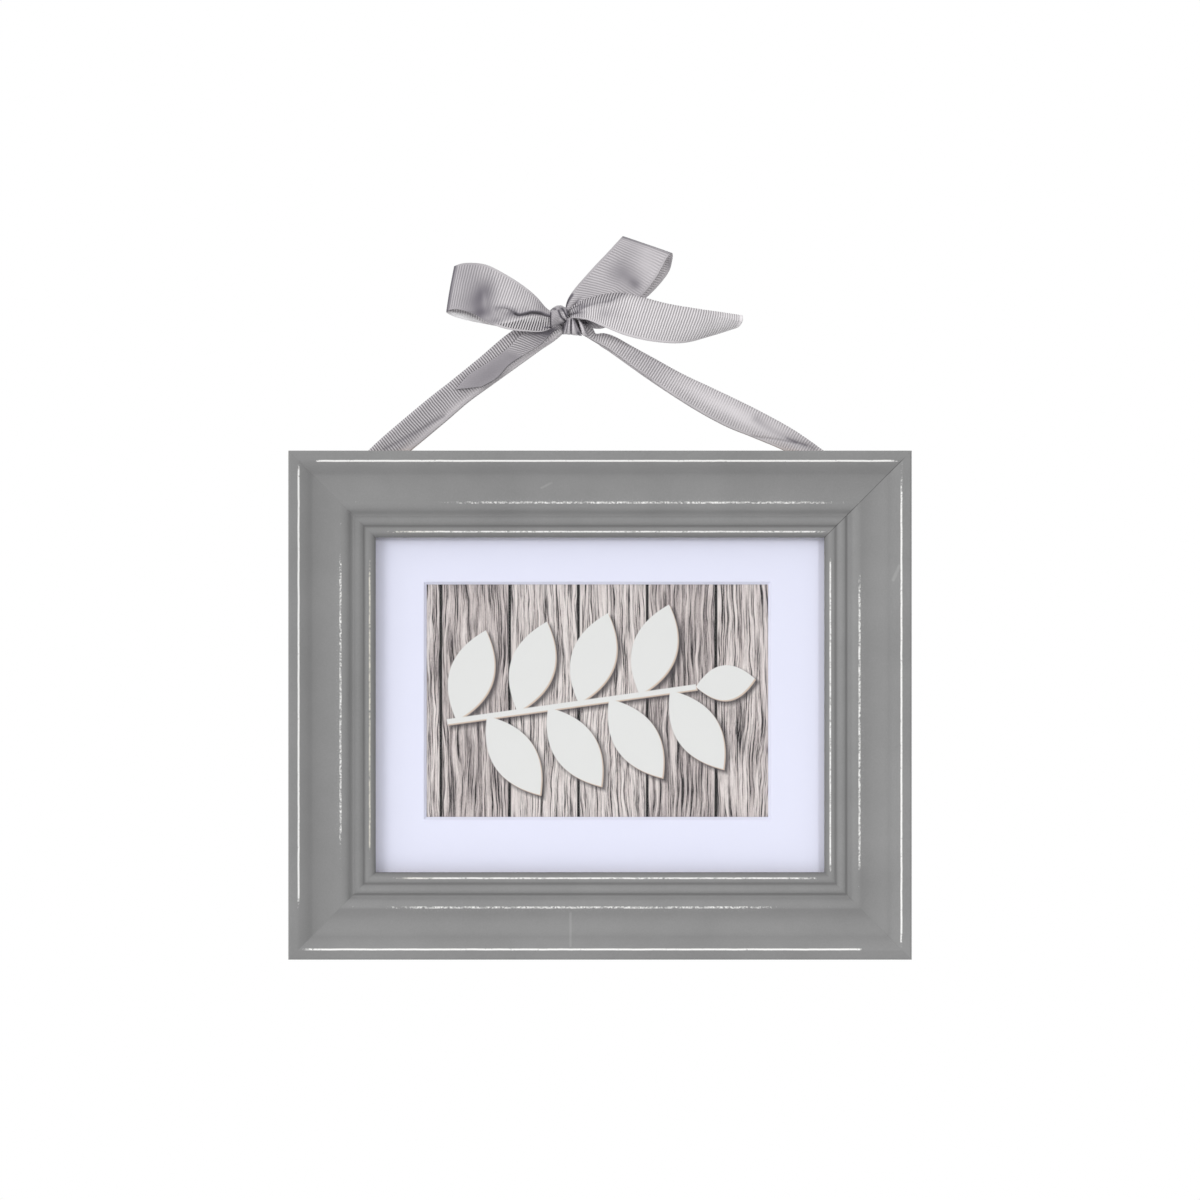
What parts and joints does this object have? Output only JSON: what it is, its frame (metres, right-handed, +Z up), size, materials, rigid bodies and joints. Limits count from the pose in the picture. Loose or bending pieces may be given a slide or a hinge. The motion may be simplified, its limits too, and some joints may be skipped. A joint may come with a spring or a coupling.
{
  "type": "wooden picture frame",
  "caption": "Wooden picture frame with a stepped, rubbed grey moulding, glazed and matted, hung from a grosgrain ribbon tied in a bow; turn buttons hold the back in.",
  "frame": {"origin": "the point under the ribbon, beside the bow's knot, where the nail or hook carries it, on the frame's vertical centre line", "axes": "+Z is up, +Y points into the wall, the picture faces -Y, +X is to the viewer's right"},
  "size_m": [0.2616, 0.0251, 0.3052],
  "materials": {
    "painted_wood": "matt grey paint rubbed back to white along the arrises",
    "clear_glass": "clear 2 mm picture glass",
    "mat": "matt cool white mat board with a bevelled window",
    "print": null,
    "hardboard": "brown pressed hardboard",
    "steel": "zinc plated",
    "brass": "brass plated",
    "ribbon": "silver grey grosgrain with fine cross ribs"
  },
  "bodies": {
    "hanger": {"ribbon_left_strand": "ribbon", "ribbon_right_strand": "ribbon", "bow_knot": "ribbon", "bow_left_loop": "ribbon", "bow_right_loop": "ribbon", "bow_left_tail": "ribbon", "bow_right_tail": "ribbon", "d_ring_left": "brass", "d_ring_right": "brass"},
    "frame": {"rail_top": "painted_wood", "rail_bottom": "painted_wood", "rail_left": "painted_wood", "rail_right": "painted_wood", "v_nail_top_left_outer": "steel", "v_nail_top_left_inner": "steel", "v_nail_top_right_outer": "steel", "v_nail_top_right_inner": "steel", "v_nail_bottom_left_outer": "steel", "v_nail_bottom_left_inner": "steel", "v_nail_bottom_right_outer": "steel", "v_nail_bottom_right_inner": "steel", "glass_pane": "clear_glass", "mat_board": "mat", "print_sheet": "print", "backing_board": "hardboard", "turn_button_screw_upper_left": "steel", "turn_button_screw_upper_right": "steel", "turn_button_screw_lower_left": "steel", "turn_button_screw_lower_right": "steel", "strap_hanger_left": "brass", "strap_hanger_right": "brass", "strap_screw_left": "brass", "strap_screw_right": "brass"},
    "button_upper_left": {"turn_button_upper_left": "steel"},
    "button_upper_right": {"turn_button_upper_right": "steel"},
    "button_lower_left": {"turn_button_lower_left": "steel"},
    "button_lower_right": {"turn_button_lower_right": "steel"}
  },
  "joints": [
    {"name": "frame_swing", "type": "hinge", "parent": "hanger", "child": "frame", "pos_m": [0, 0, -0.065], "axis": [1, 0, 0], "range_deg": [0, 150]},
    {"name": "button_upper_left_turn", "type": "hinge", "parent": "frame", "child": "button_upper_left", "pos_m": [-0.1076, -0.0018, -0.1128], "axis": [0, 1, 0], "continuous": true},
    {"name": "button_upper_right_turn", "type": "hinge", "parent": "frame", "child": "button_upper_right", "pos_m": [0.1076, -0.0018, -0.1128], "axis": [0, 1, 0], "continuous": true},
    {"name": "button_lower_left_turn", "type": "hinge", "parent": "frame", "child": "button_lower_left", "pos_m": [-0.1076, -0.0018, -0.1888], "axis": [0, 1, 0], "continuous": true},
    {"name": "button_lower_right_turn", "type": "hinge", "parent": "frame", "child": "button_lower_right", "pos_m": [0.1076, -0.0018, -0.1888], "axis": [0, 1, 0], "continuous": true}
  ]
}
